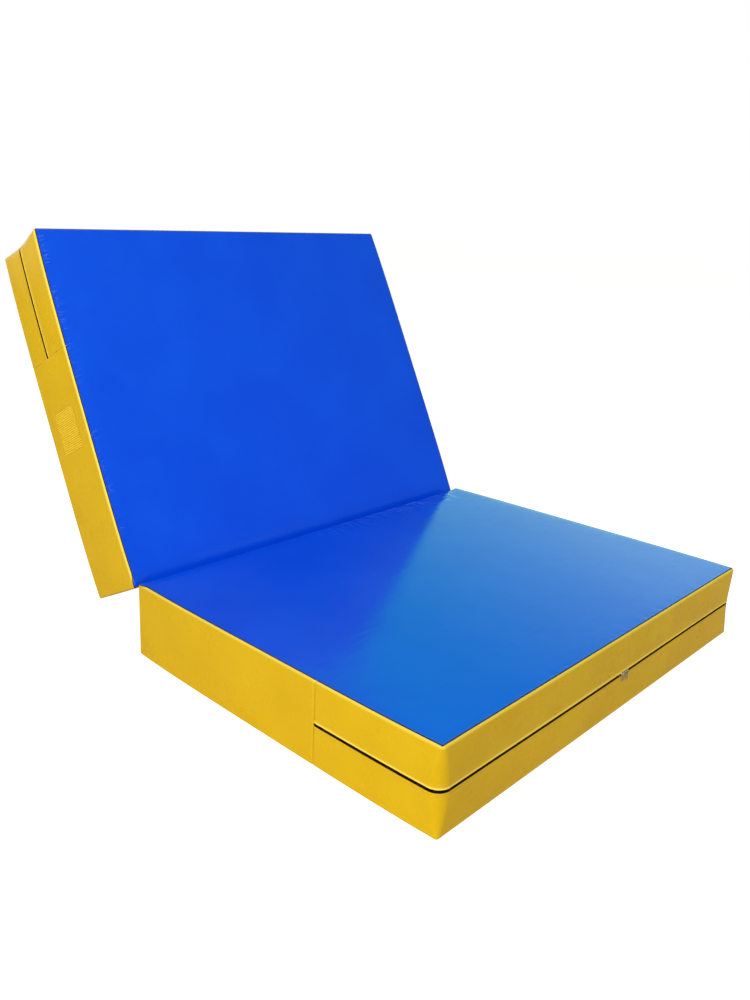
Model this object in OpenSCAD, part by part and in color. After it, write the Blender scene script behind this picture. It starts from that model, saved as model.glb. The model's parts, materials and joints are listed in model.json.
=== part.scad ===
// Folding gym mat: two foam panels in zipped vinyl covers, joined by a cloth hinge.
// Millimetres, +Z up. The base panel lies on the floor with its free end towards -Y,
// and the other panel is shown raised on the hinge.

/* [Panels] */
// Width of each panel, along the fold
panel_w = 1000; // [700:10:1500]
// Length of each panel, from the fold to its free end
panel_l = 750; // [500:10:1200]
// Thickness of each panel
panel_h = 150; // [90:5:250]
// Radius of the upright corners
corner_r = 12; // [10:1:30]

/* [Cover] */
// Thickness of the coated cloth
skin = 0.8; // [0.5:0.1:1.1]
// Radius of the rolled edge between a wall and a face
edge_r = 2.4; // [2:0.1:4]
// Seam allowance turned in at each edge
seam_turn = 9; // [7:1:12]
// Rise of a face above its edge seams
proud = 0.3; // [0.2:0.1:1]
// Room between the walls and the foam
core_gap = 2.2; // [1.9:0.1:4]

/* [Zip] */
// Length of zip along each side wall, from the free end
zip_side = 250; // [150:5:350]
// Slit between the two lips
slit = 5; // [4.4:0.2:8]
// Hem behind each lip
hem = 12; // [10:1:16]
// Where the two sliders meet, from the middle of the free end
zip_meet = 28; // [-150:1:150]
// Length of a slider
slider_l = 13; // [11:0.5:16]
// Length of a pull, from its eye to its tip
pull_l = 16; // [12:1:30]

/* [Vent] */
// Distance of the vent's middle from the hinge end
vent_at = 345; // [200:5:370]
// Rows of gaps along the wall
vent_rows = 22; // [8:1:24]
// Columns of gaps across the wall
vent_cols = 20; // [6:1:22]
// Pitch of the mesh
vent_pitch = 4.2; // [3.6:0.1:5]
// Width of one strand of the mesh
vent_strand = 1.5; // [1:0.1:2]

/* [Fold] */
// Lift of the raised panel from lying flat
lift = 63.3; // [0:0.1:180]
// Distance of the fold line behind the base panel
fold_back = 20; // [14:1:26]
// Gap between the end walls with the mat laid flat
flat_gap = 2; // [1:0.5:4]
// Gap between the two top faces with the mat folded shut
shut_gap = 2.4; // [1:0.2:6]

/* [Hidden] */
$fn = 48;
fit = 0.35;                             // running clearance
butt = 0.2;                             // gap at a sewn butt joint
half_w = panel_w / 2;
half_l = panel_l / 2;
mid_h = panel_h / 2;
seam_in = edge_r + skin;                // edge seam, from the outer wall
sheet_in = seam_in + 0.1;               // edge of a face sheet
core_in = skin + core_gap;              // face of the foam
core_rebate = sheet_in + skin + 1.2;    // foam set back behind the turned seams
hinge_drop = edge_r + 5.6;              // top sheet turned down over the hinge edge
// depths in from the outer wall: lip, slider plate, chain, slider plate
lip_t = 2 * skin;
plate = 1;
out_u = lip_t + fit;
coil_u = out_u + plate + fit;
coil_t = 2.4;
chain_u = coil_u + coil_t / 2;
in_u = coil_u + coil_t + fit;
zip_u = in_u + plate;
// heights from the middle of the chain
coil_v0 = 0.8;
coil_v1 = 3.2;
rail_v0 = coil_v1 + 0.4;
slider_v = rail_v0 + 0.9;
tape_t = 0.6;
tape_v1 = slider_v + 0.6;
tape_v2 = tape_v1 + 4;
tape_v3 = slit / 2 + hem;
groove_v = tape_v2 + 1;
tape_end = zip_side + 8;
// bail and pull
bar_r = 1;
eye_r = bar_r + 0.3;
boss_r = eye_r + 1;
bar_u = -(boss_r + 1);
bail_s = 4.2;
bend_r = 2;
tab_w = 5;
tab_t = 1.4;
// mesh panel
vent_l = vent_rows * vent_pitch - vent_strand;
vent_h = vent_cols * vent_pitch - vent_strand;
vent_edge = 8;
vent_u = skin + 0.15;
// fold line and the hinge cloth, from the base panel's hinge edge
fold_y = half_l + fold_back;
fold_z = panel_h + shut_gap / 2;
reach = fold_back - flat_gap;
p1_y = skin / 2 + 0.3;
p1_z = -hinge_drop;
p2_y = fold_back - reach * cos(lift) + (hinge_drop + shut_gap / 2) * sin(lift);
p2_z = shut_gap / 2 - reach * sin(lift) - (hinge_drop + shut_gap / 2) * cos(lift);
strip_l = 40;
sag_r = max(1.2, (p2_y - p1_y) / 2);
sag_z = min((p1_z + p2_z - strip_l + PI * sag_r) / 2, min(p1_z, p2_z) - 1);

blue = [0.08, 0.31, 0.85];
yellow = [0.89, 0.72, 0.13];
dark = [0.14, 0.11, 0.10];
metal = [0.62, 0.62, 0.60];
foam = [0.90, 0.86, 0.66];

// the raised panel: turned end for end, laid behind the base, then lifted about the fold line
module raised() {
  translate([0, fold_y, fold_z]) rotate([lift, 0, 0]) translate([0, -fold_y, -fold_z])
    translate([0, panel_l + flat_gap, 0]) rotate([0, 0, 180]) children();
}

// a wall section (in from the wall, up) drawn along a straight wall, or round an upright corner
module run(len) { rotate([90, 0, 90]) linear_extrude(len) children(); }
module bend(r) { rotate([0, 0, -90]) rotate_extrude(angle = 90) translate([r, 0]) mirror([1, 0]) children(); }

// round the free end and along both sides as far as `to`
module round_free_end(to) {
  translate([-half_w + corner_r, -half_l, 0]) run(panel_w - 2 * corner_r) children();
  for (m = [0, 1]) mirror([m, 0, 0]) {
    translate([half_w - corner_r, -half_l + corner_r, 0]) bend(corner_r) children();
    rotate([0, 0, 90]) translate([-half_l + corner_r, -half_w, 0]) run(to - corner_r) children();
  }
}

// outline of a panel drawn in by `d`
module outline(d) {
  r = corner_r - d;
  square([panel_w - 2 * corner_r, panel_l - 2 * d], center = true);
  square([panel_w - 2 * d, panel_l - 2 * corner_r], center = true);
  for (x = [-1, 1], y = [-1, 1])
    translate([x * (half_w - corner_r), y * (half_l - corner_r)]) circle(r);
}

// rolled edge with the seam allowance turned in behind it
module roll(drop) {
  translate([edge_r, panel_h - drop - edge_r]) intersection() {
    difference() { circle(edge_r); circle(edge_r - skin); }
    translate([-edge_r, 0]) square(edge_r);
  }
}
module edge_section() {
  roll(proud);
  translate([edge_r, panel_h - seam_turn]) square([skin, seam_turn - proud]);
}
module flip_up() { translate([0, panel_h]) mirror([0, 1]) children(); }

module side_section() {
  translate([0, edge_r + proud]) square([skin, panel_h - 2 * edge_r - 2 * proud]);
  edge_section();
  flip_up() edge_section();
}
module end_section() {
  translate([0, edge_r + proud]) square([skin, panel_h - edge_r - proud - hinge_drop - butt]);
  flip_up() edge_section();
}
module lip_section() {
  translate([0, mid_h + slit / 2]) square([skin, mid_h - slit / 2 - edge_r - proud]);
  translate([skin, mid_h + slit / 2]) square([skin, hem]);
  edge_section();
}
module tape_section() {
  translate([0, mid_h]) polygon([
    [chain_u - tape_t / 2, coil_v1], [chain_u + tape_t / 2, coil_v1],
    [chain_u + tape_t / 2, tape_v1], [lip_t + butt + tape_t, tape_v2],
    [lip_t + butt + tape_t, tape_v3], [lip_t + butt, tape_v3],
    [lip_t + butt, tape_v2], [chain_u - tape_t / 2, tape_v1]]);
}
module coil_section() { translate([coil_u, mid_h + coil_v0]) square([coil_t, coil_v1 - coil_v0]); }

// foam block, set back behind the turned seams and along the zip
module core() {
  difference() {
    union() {
      translate([0, 0, skin + 0.4]) linear_extrude(panel_h - 2 * skin - 0.8) outline(core_rebate);
      translate([0, 0, seam_turn + 1.5]) linear_extrude(panel_h - 2 * seam_turn - 3) outline(core_in);
    }
    round_free_end(tape_end + 2)
      translate([0, mid_h - groove_v]) square([zip_u + 0.5, 2 * groove_v]);
  }
}

// face sheet with its edge turned in all round
module bottom_sheet() {
  linear_extrude(skin) outline(sheet_in);
  linear_extrude(seam_turn) difference() { outline(sheet_in); outline(sheet_in + skin); }
}

// face sheet that runs over the hinge edge and down to the hinge seam
module top_sheet() {
  hinge_w = panel_w - 2 * corner_r - 2 * butt;
  translate([0, 0, panel_h - skin]) linear_extrude(skin) {
    outline(sheet_in);
    translate([-hinge_w / 2, 0]) square([hinge_w, half_l - edge_r]);
  }
  translate([0, 0, panel_h - seam_turn]) linear_extrude(seam_turn) difference() {
    outline(sheet_in);
    outline(sheet_in + skin);
    translate([-hinge_w / 2 - 1, half_l - corner_r]) square([hinge_w + 2, corner_r]);
  }
  rotate([0, 0, 180]) translate([-hinge_w / 2, -half_l, 0]) run(hinge_w) {
    roll(0);
    translate([0, panel_h - hinge_drop]) square([skin, hinge_drop - edge_r]);
  }
}

// one strip of wall from zip end to zip end round the hinge end, with the vent's window
module rear_wall() {
  side = panel_l - zip_side - corner_r - butt;
  difference() {
    union() {
      rotate([0, 0, 180]) translate([-half_w + corner_r, -half_l, 0]) run(panel_w - 2 * corner_r) end_section();
      for (m = [0, 1]) mirror([m, 0, 0]) {
        translate([half_w - corner_r, half_l - corner_r, 0]) rotate([0, 0, 90]) bend(corner_r) side_section();
        rotate([0, 0, 90]) translate([half_l - corner_r - side, -half_w, 0]) run(side) side_section();
      }
    }
    translate([half_w - 3, half_l - vent_at - vent_l / 2, mid_h - vent_h / 2]) cube([6, vent_l, vent_h]);
  }
}

module zip_wall() { round_free_end(zip_side) lip_section(); }
module tape() { round_free_end(tape_end) tape_section(); }
module coil() { round_free_end(tape_end) coil_section(); }
module low() { translate([0, 0, panel_h]) mirror([0, 0, 1]) children(); }

module vent() {
  frame_l = vent_l + 2 * vent_edge;
  frame_h = vent_h + 2 * vent_edge;
  gap = vent_pitch - vent_strand;
  translate([half_w - vent_u - skin, half_l - vent_at, mid_h]) rotate([90, 0, 90]) linear_extrude(skin) difference() {
    square([frame_l, frame_h], center = true);
    for (i = [0 : vent_rows - 1], j = [0 : vent_cols - 1])
      translate([-vent_l / 2 + i * vent_pitch, -vent_h / 2 + j * vent_pitch]) square(gap);
  }
}

// slider, nose towards +X: two plates on a bridge, rails that hold the coils, and a bail
module slider_outline() {
  translate([-slider_l / 2, -slider_v]) square([slider_l - slider_v, 2 * slider_v]);
  translate([slider_l / 2 - slider_v, 0]) circle(slider_v);
}
module slider() {
  for (u = [out_u, in_u]) translate([0, u + plate, 0]) rotate([90, 0, 0]) linear_extrude(plate) slider_outline();
  translate([slider_l / 2 - 4.5, out_u, -0.45]) cube([3, zip_u - out_u, 0.9]);
  for (m = [0, 1]) mirror([0, 0, m]) {
    translate([-slider_l / 2, out_u + plate, rail_v0]) cube([slider_l - slider_v, chain_u - tape_t / 2 - 0.3 - out_u - plate, slider_v - rail_v0]);
    translate([-slider_l / 2, chain_u + tape_t / 2 + 0.3, rail_v0]) cube([slider_l - slider_v, in_u - chain_u - tape_t / 2 - 0.3, slider_v - rail_v0]);
  }
  translate([-bail_s + bend_r, bar_u, 0]) rotate([0, 90, 0]) cylinder(h = 2 * (bail_s - bend_r), r = bar_r);
  for (m = [0, 1]) mirror([m, 0, 0]) {
    translate([bail_s - bend_r, bar_u + bend_r, 0]) rotate([0, 0, -90]) rotate_extrude(angle = 90) translate([bend_r, 0]) circle(bar_r);
    translate([bail_s, bar_u + bend_r, 0]) rotate([-90, 0, 0]) cylinder(h = out_u - bar_u - bend_r + plate / 2, r = bar_r);
  }
}

// pull hanging from the bail's bar by its eye
module pull() {
  boss_l = 2 * (bail_s - bend_r) - 1;
  difference() {
    union() {
      translate([-boss_l / 2, bar_u, 0]) rotate([0, 90, 0]) cylinder(h = boss_l, r = boss_r);
      translate([-boss_l / 2, bar_u - tab_t / 2, -boss_r - 2]) cube([boss_l, tab_t, boss_r + 2]);
      translate([0, bar_u + tab_t / 2, 0]) rotate([90, 0, 0]) linear_extrude(tab_t) difference() {
        union() {
          translate([-tab_w / 2, -pull_l + tab_w / 2]) square([tab_w, pull_l - tab_w / 2 - boss_r - 1]);
          translate([0, -pull_l + tab_w / 2]) circle(tab_w / 2);
        }
        translate([0, -pull_l + tab_w / 2]) circle(1.3);
      }
    }
    translate([-boss_l, bar_u, 0]) rotate([0, 90, 0]) cylinder(h = 2 * boss_l, r = eye_r);
  }
}

// a pair of sliders meets nose to nose, `side` -1 on the left and 1 on the right
module at_slider(side) {
  translate([zip_meet + side * (slider_l / 2 + fit), -half_l, mid_h]) mirror([side > 0 ? 1 : 0, 0, 0]) children();
}

// cloth hinge: a strip hung in the crease between the two hinge edges
module strip() {
  translate([-half_w + corner_r + 2, half_l, panel_h]) run(panel_w - 2 * corner_r - 4) {
    translate([p1_y - skin / 2, sag_z]) square([skin, p1_z - sag_z]);
    translate([p1_y + 2 * sag_r - skin / 2, sag_z]) square([skin, p2_z - skin - sag_z]);
    translate([p1_y + sag_r, sag_z]) intersection() {
      difference() { circle(sag_r + skin / 2); circle(sag_r - skin / 2); }
      translate([-sag_r - skin, -sag_r - skin]) square([2 * sag_r + 2 * skin, sag_r + skin]);
    }
  }
}

module hinge_strip() { color(blue) strip(); }

module base_core() { color(foam) core(); }
module base_top() { color(blue) top_sheet(); }
module base_bottom() { color(blue) bottom_sheet(); }
module base_rear_wall() { color(yellow) rear_wall(); }
module base_zip_wall_top() { color(yellow) zip_wall(); }
module base_zip_wall_low() { color(yellow) low() zip_wall(); }
module base_tape_top() { color(dark) tape(); }
module base_tape_low() { color(dark) low() tape(); }
module base_coil_top() { color(dark) coil(); }
module base_coil_low() { color(dark) low() coil(); }
module base_slider_l() { color(metal) at_slider(-1) slider(); }
module base_slider_r() { color(metal) at_slider(1) slider(); }
module base_pull_l() { color(metal) at_slider(-1) pull(); }
module base_pull_r() { color(metal) at_slider(1) pull(); }
module base_vent() { color(yellow) vent(); }

module upper_core() { color(foam) raised() core(); }
module upper_top() { color(blue) raised() top_sheet(); }
module upper_bottom() { color(blue) raised() bottom_sheet(); }
module upper_rear_wall() { color(yellow) raised() rear_wall(); }
module upper_zip_wall_top() { color(yellow) raised() zip_wall(); }
module upper_zip_wall_low() { color(yellow) raised() low() zip_wall(); }
module upper_tape_top() { color(dark) raised() tape(); }
module upper_tape_low() { color(dark) raised() low() tape(); }
module upper_coil_top() { color(dark) raised() coil(); }
module upper_coil_low() { color(dark) raised() low() coil(); }
module upper_slider_l() { color(metal) raised() at_slider(1) slider(); }
module upper_slider_r() { color(metal) raised() at_slider(-1) slider(); }
module upper_pull_l() { color(metal) raised() at_slider(1) pull(); }
module upper_pull_r() { color(metal) raised() at_slider(-1) pull(); }
module upper_vent() { color(yellow) raised() vent(); }

hinge_strip();
base_core();
base_top();
base_bottom();
base_rear_wall();
base_zip_wall_top();
base_zip_wall_low();
base_tape_top();
base_tape_low();
base_coil_top();
base_coil_low();
base_slider_l();
base_slider_r();
base_pull_l();
base_pull_r();
base_vent();
upper_core();
upper_top();
upper_bottom();
upper_rear_wall();
upper_zip_wall_top();
upper_zip_wall_low();
upper_tape_top();
upper_tape_low();
upper_coil_top();
upper_coil_low();
upper_slider_l();
upper_slider_r();
upper_pull_l();
upper_pull_r();
upper_vent();
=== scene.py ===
import bpy
import json
import math
from mathutils import Matrix, Vector, noise

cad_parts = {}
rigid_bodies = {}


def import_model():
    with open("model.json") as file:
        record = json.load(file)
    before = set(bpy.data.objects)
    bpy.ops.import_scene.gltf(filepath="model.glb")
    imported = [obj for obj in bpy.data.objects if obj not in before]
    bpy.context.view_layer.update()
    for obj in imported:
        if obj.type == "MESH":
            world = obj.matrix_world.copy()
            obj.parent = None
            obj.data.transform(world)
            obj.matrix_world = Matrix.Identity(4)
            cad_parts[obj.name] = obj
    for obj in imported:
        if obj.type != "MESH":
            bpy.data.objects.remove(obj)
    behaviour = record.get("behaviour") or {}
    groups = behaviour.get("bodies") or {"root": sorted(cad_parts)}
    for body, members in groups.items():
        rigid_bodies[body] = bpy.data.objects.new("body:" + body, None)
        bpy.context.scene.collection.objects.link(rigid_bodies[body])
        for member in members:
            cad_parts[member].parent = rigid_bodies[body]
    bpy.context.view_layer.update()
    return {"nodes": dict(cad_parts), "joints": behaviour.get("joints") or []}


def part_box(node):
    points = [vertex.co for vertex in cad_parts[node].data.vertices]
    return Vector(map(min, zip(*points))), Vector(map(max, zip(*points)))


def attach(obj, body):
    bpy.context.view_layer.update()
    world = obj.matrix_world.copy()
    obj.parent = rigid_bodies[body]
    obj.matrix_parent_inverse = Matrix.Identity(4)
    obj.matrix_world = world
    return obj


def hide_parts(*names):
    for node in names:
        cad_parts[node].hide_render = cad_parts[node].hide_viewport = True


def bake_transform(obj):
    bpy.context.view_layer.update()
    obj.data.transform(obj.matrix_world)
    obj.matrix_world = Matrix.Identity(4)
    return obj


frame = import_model()
scene = bpy.context.scene
made = bpy.data.objects
scene.view_settings.view_transform = "Standard"
mm = 0.001
tiny = 1e-5     # in metres, for points that lie on a line
print("frame loaded:", len(frame["nodes"]), "solids")

# one panel lies flat round the origin, hinge end at +y, zip round the end at -y
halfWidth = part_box("base_rear_wall")[1].x
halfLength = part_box("base_rear_wall")[1].y
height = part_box("base_top")[1].z
midHeight = height / 2
turns = (-halfWidth, halfWidth)     # the corners, along the walls
panel = dict(
    zipSide=250 * mm,       # how far the zip runs along each side
    edgeRadius=3.2 * mm,    # upright corners, sharp where the faces are sewn on
    turnReach=60 * mm,      # how much wall on both sides of a corner gives way to its bend
    bow=5 * mm,             # the sides swell out between the corners
    seamGap=0.05 * mm,      # between the walls where the zip ends
    flatGap=2 * mm,         # between the two panels when they lie open
    cloth=0.8,              # thickness of the vinyl, in mm
)

# the raised panel is the same panel, turned end for end and lifted about the fold
fold = next(j for j in frame["joints"] if j["name"] == "fold")
foldPoint = Vector(fold["pos_m"])
lift = -math.radians(fold["range_deg"][0])
placeUpper = (
    Matrix.Translation(foldPoint) @ Matrix.Rotation(lift, 4, "X") @ Matrix.Translation(-foldPoint)
    @ Matrix.Translation((0, 2 * halfLength + panel["flatGap"], 0)) @ Matrix.Rotation(math.pi, 4, "Z")
)
places = {"base": Matrix.Identity(4), "upper": placeUpper}
print("raised panel at", round(math.degrees(lift), 1), "degrees")


def toLinear(hexCode):
    parts = [int(hexCode[i:i + 2], 16) / 255 for i in (1, 3, 5)]
    return [p / 12.92 if p <= 0.04045 else ((p + 0.055) / 1.055) ** 2.4 for p in parts] + [1.0]


# settings go to sockets, ramp stops or properties; a link from a whole node is from its first output
def addNode(tree, kind, settings=None, links=None):
    node = tree.nodes.new("ShaderNode" + kind)
    for key, value in (settings or {}).items():
        if key == "stops":
            elements = node.color_ramp.elements
            elements.remove(elements[1])
            for i, (position, colour) in enumerate(value):
                stop = elements.new(position) if i else elements[0]
                stop.position, stop.color = position, toLinear(colour)
        elif isinstance(key, int) or key in node.inputs:
            node.inputs[key].default_value = value
        else:
            setattr(node, key, value)
    for key, source in (links or {}).items():
        tree.links.new(getattr(source, "outputs", [source])[0], node.inputs[key])
    return node


def newTree(name):
    material = bpy.data.materials.new(name)
    material.use_nodes = True
    material.node_tree.nodes.clear()
    return material, material.node_tree


def bands(millimetres):
    return 0.314159 / (millimetres * mm)    # wave texture scale for one thread spacing


def grains(millimetres):
    return 1 / (millimetres * mm)           # noise texture scale for one grain


# PVC-coated polyester, calendered: a smooth satin skin over a fine woven scrim that
# shows as a faint regular dimple, with a soft broad gloss and slightly uneven shine
def coatedCloth(name, look):
    material, tree = newTree(name)
    cloth = addNode(tree, "UVMap", {"uv_map": "cloth"})
    patches, smear, skin, swell = [
        addNode(tree, "TexNoise", {"Scale": grains(size), "Detail": detail, "Roughness": rough}, {"Vector": cloth})
        for size, detail, rough in ((look["patch"], 3.0, 0.5), (look["smear"], 4.0, 0.6),
                                    (look["grain"], 3.0, 0.55), (look["swell"], 1.0, 0.5))]
    tint = addNode(tree, "ValToRGB", {"stops": ((0.3, look["dark"]), (0.7, look["light"]))}, {"Fac": patches})
    shine = addNode(tree, "MapRange", {"From Min": 0.3, "From Max": 0.7, "To Min": look["roughness"] - 0.03,
                                       "To Max": look["roughness"] + 0.04}, {"Value": smear})
    warp, weft = [addNode(tree, "TexWave", {"bands_direction": axis, "Distortion": 0.4,
                                            "Scale": bands(look["thread"])}, {"Vector": cloth}) for axis in "XY"]
    scrim = addNode(tree, "Math", {"operation": "MULTIPLY"}, {0: warp.outputs["Fac"], 1: weft.outputs["Fac"]})
    crinkle, *pleats = [
        addNode(tree, "TexNoise", {"Scale": 1.0, "Detail": detail, "Roughness": rough}, {"Vector": addNode(
            tree, "Mapping", {"Scale": (grains(across), grains(along), 1)}, {"Vector": cloth})})
        for (across, along), detail, rough in ((look["crinkle"], 2.0, 0.4), (look["foldPleat"], 1.0, 0.5),
                                               (look["seamPleat"], 1.0, 0.5))]
    # the pleats show only where the fold (x) or the sewing (y) draws the cloth in; the third share (z) marks the
    # painted highlight
    drawnAndHighlight = addNode(tree, "Attribute", {"attribute_name": "drawn"})
    share = addNode(tree, "SeparateXYZ", {}, {"Vector": drawnAndHighlight.outputs["Vector"]})
    heights = [(0.5, look["swellDepth"], swell), (0.5, look["crinkleDepth"], crinkle)]
    for axis, pleat in zip("XY", pleats):
        level = addNode(tree, "Math", {"operation": "SUBTRACT", 1: 0.5}, {0: pleat})
        deep = addNode(tree, "Math", {"operation": "MULTIPLY"}, {0: level, 1: share.outputs[axis]})
        heights.append((0.8, look["pleatDepth"], deep))
    heights += [(0.35, look["scrimDepth"], scrim), (0.35, look["grainDepth"], skin)]
    relief = None
    for strength, depth, source in heights:
        links = {"Height": source, "Normal": relief} if relief else {"Height": source}
        relief = addNode(tree, "Bump", {"Strength": strength, "Distance": depth * mm}, links)
    # painted highlight: the tint is mixed towards the pale colour by the z share, on rounded edges that would catch the
    # light
    paintedHighlight = addNode(tree, "Mix", {"data_type": "RGBA", 7: toLinear(look["pale"])},
                        {0: share.outputs["Z"], 6: tint})
    surface = addNode(tree, "BsdfPrincipled", {"Specular IOR Level": look["gloss"]},
                      {"Base Color": paintedHighlight.outputs[2], "Roughness": shine, "Normal": relief})
    addNode(tree, "OutputMaterial", {}, {"Surface": surface})
    return material


# sizes and depths in mm; creases by their size across and along the cloth
vinyl = dict(thread=1.4, scrimDepth=0.03, grain=0.9, swell=70, swellDepth=0.5,
             foldPleat=(8, 42), seamPleat=(26, 8), pleatDepth=7)
blueVinyl = coatedCloth("blue coated cloth", dict(
    vinyl, dark="#034FE8", light="#0557EE", pale="#0557EE", patch=180, smear=60, roughness=0.12, gloss=0.5,
    crinkle=(60, 9), crinkleDepth=0.5, grainDepth=0.035))
# pale is the painted highlight colour, mixed in over rolled edges and along the lip above the zip
yellowVinyl = coatedCloth("yellow coated cloth", dict(
    vinyl, dark="#D1A602", light="#DAB103", pale="#FFE864", patch=160, smear=55, roughness=0.28, gloss=0.22,
    crinkle=(11, 70), crinkleDepth=0.35, grainDepth=0.02))


# a plainer material, where one pattern gives the tint and also the relief or the haze
def patterned(name, pattern, settings, tones, surface, relief=None, haze=None, onCloth=False):
    material, tree = newTree(name)
    place = addNode(tree, "UVMap", {"uv_map": "cloth"}) if onCloth else addNode(tree, "TexCoord").outputs["Object"]
    texture = addNode(tree, pattern, settings, {"Vector": place})
    level = texture.outputs["Distance" if pattern == "TexVoronoi" else "Fac"]
    links = {"Base Color": addNode(tree, "ValToRGB", {"stops": tones}, {"Fac": level})}
    if relief:
        links["Normal"] = addNode(tree, "Bump", {"Strength": relief[0], "Distance": relief[1] * mm}, {"Height": level})
    if haze:
        links["Roughness"] = addNode(tree, "MapRange", {"To Min": haze[0], "To Max": haze[1]}, {"Value": level})
    shell = addNode(tree, "BsdfPrincipled", surface, links)
    addNode(tree, "OutputMaterial", {}, {"Surface": shell})
    return material


# PVC-dipped polyester mesh: thick glossy strands, rounded where the dip has run together
dippedMesh = patterned(
    "yellow dipped mesh", "TexNoise", {"Scale": grains(2.5)}, ((0, "#EDBE14"), (1, "#F7CF30")),
    {"Roughness": 0.42, "Specular IOR Level": 0.25}, relief=(0.4, 0.1))

# open-cell polyurethane foam: matt, full of small dark pores; its colour is darkened to paint the shade seen through
# the holes of the vent
foamWithPaintedShade = patterned(
    "open-cell foam", "TexVoronoi", {"Scale": grains(1.6)}, ((0, "#86620F"), (0.35, "#A87C16")),
    {"Roughness": 0.95, "Specular IOR Level": 0.15}, relief=(0.6, 0.5))

# woven polyester zip tape: dull, close twill ribs across the tape
wovenTape = patterned(
    "woven zip tape", "TexWave", {"bands_direction": "DIAGONAL", "Scale": bands(0.9), "Distortion": 0.6},
    ((0, "#1A0402"), (1, "#2A0805")), {"Roughness": 0.8, "Sheen Weight": 0.05, "Specular IOR Level": 0.1},
    relief=(0.6, 0.15), onCloth=True)

# drawn nylon filament of the coil: nearly black, a low gloss, faintly uneven
nylonCoil = patterned(
    "nylon coil", "TexNoise", {"Scale": grains(0.5)}, ((0, "#120303"), (1, "#1E0705")),
    {"Roughness": 0.6, "Specular IOR Level": 0.1})

# die-cast zinc, nickel plated: pale warm grey mirror, softened by tumbling
platedZinc = patterned(
    "nickel plated zinc", "TexNoise", {"Scale": grains(0.7), "Detail": 4.0}, ((0, "#B9B4AE"), (1, "#D8D4CE")),
    {"Metallic": 1.0}, haze=(0.22, 0.42))

# bonded polyester thread: twisted plies, a soft silky shine
yellowThread, navyThreadAndSeamShade = [patterned(
    name, "TexWave", {"bands_direction": "DIAGONAL", "Scale": bands(0.8)},
    tones, {"Roughness": 0.5, "Sheen Weight": silk}, relief=(0.5, 0.1)) for name, tones, silk in (
        ("yellow bonded thread", ((0, "#BF9518"), (1, "#EBC23C")), 0.2),
        ("navy bonded thread and seam shade", ((0, "#04081C"), (1, "#0B1538")), 0.05))]
print("materials ready:", len(bpy.data.materials))


def deselectAll():
    if bpy.context.object and bpy.context.object.mode != "OBJECT":
        bpy.ops.object.mode_set(mode="OBJECT")
    bpy.ops.object.select_all(action="DESELECT")


def pick(obj):
    deselectAll()
    obj.select_set(True)
    bpy.context.view_layer.objects.active = obj


# edit mode with all of the mesh selected, or only the wanted faces (or edges, by their two ends)
def openMesh(obj, kind="FACE", wanted=None):
    pick(obj)
    bpy.ops.object.mode_set(mode="EDIT")
    bpy.ops.mesh.select_mode(type=kind)
    bpy.ops.mesh.select_all(action="DESELECT" if wanted else "SELECT")
    if wanted:
        closeMesh()
        if kind == "EDGE":
            for edge in obj.data.edges:
                edge.select = wanted(*[obj.data.vertices[i].co for i in edge.vertices])
        else:
            for face in obj.data.polygons:
                face.select = wanted(face)
        bpy.ops.object.mode_set(mode="EDIT")


def closeMesh():
    bpy.ops.object.mode_set(mode="OBJECT")


def pullOut(x, y, z):
    bpy.ops.mesh.extrude_region_move(TRANSFORM_OT_translate={"value": (x, y, z)})


def applyModifier(obj, kind, **settings):
    pick(obj)
    modifier = obj.modifiers.new(kind, kind)
    for key, value in settings.items():
        setattr(modifier, key, value)
    bpy.ops.object.modifier_apply(modifier=modifier.name)


def soften(obj):
    applyModifier(obj, "SUBSURF", levels=1)


def repeat(obj, count, pitch):
    applyModifier(obj, "ARRAY", count=count, use_relative_offset=False, use_constant_offset=True,
                  constant_offset_displace=(pitch * mm, 0, 0))


def newPiece(name, shape, **settings):
    deselectAll()
    shape(**settings)
    obj = bpy.context.object
    obj.name = obj.data.name = name
    return obj


def copyPiece(obj, name):
    twin = obj.copy()
    twin.data = obj.data.copy()
    twin.name = twin.data.name = name
    scene.collection.objects.link(twin)
    return twin


def moveEach(obj, *forms):
    for form in forms:
        for v in obj.data.vertices:
            v.co = form(v.co)
        obj.data.update()


# thread spacing follows the cloth: one metre of cloth is one unit of this map
def layCloth(obj, spread):
    layer = obj.data.uv_layers.new(name="cloth")
    for loop in obj.data.loops:
        layer.data[loop.index].uv = spread(obj.data.vertices[loop.vertex_index].co)


# a section drawn point by point, then pulled along station by station
def drawStrip(name, section, stations):
    obj = newPiece(name, bpy.ops.mesh.primitive_plane_add, size=1 * mm)
    openMesh(obj, "VERT")
    bpy.ops.mesh.merge(type="CENTER")
    bpy.ops.transform.translate(value=(stations[0], *section[0]))
    for (u0, h0), (u1, h1) in zip(section, section[1:]):
        pullOut(0, u1 - u0, h1 - h0)
    bpy.ops.mesh.select_all(action="SELECT")
    for s0, s1 in zip(stations, stations[1:]):
        pullOut(s1 - s0, 0, 0)
    closeMesh()
    return obj


# even steps between marks, fine ones within reach of the corners
def stationsAlong(low, high, coarse, corners=(), fine=3 * mm, reach=42 * mm, stops=()):
    marks = sorted({low, high, *stops, *[c + k * reach for c in corners for k in (-1, 1)]})
    stations = [marks[0]]
    for a, b in zip(marks, marks[1:]):
        near = any(abs((a + b) / 2 - c) < reach for c in corners)
        count = max(1, round((b - a) / (fine if near else coarse)))
        stations += [a + (b - a) * (i + 1) / count for i in range(count)]
    return stations


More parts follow.
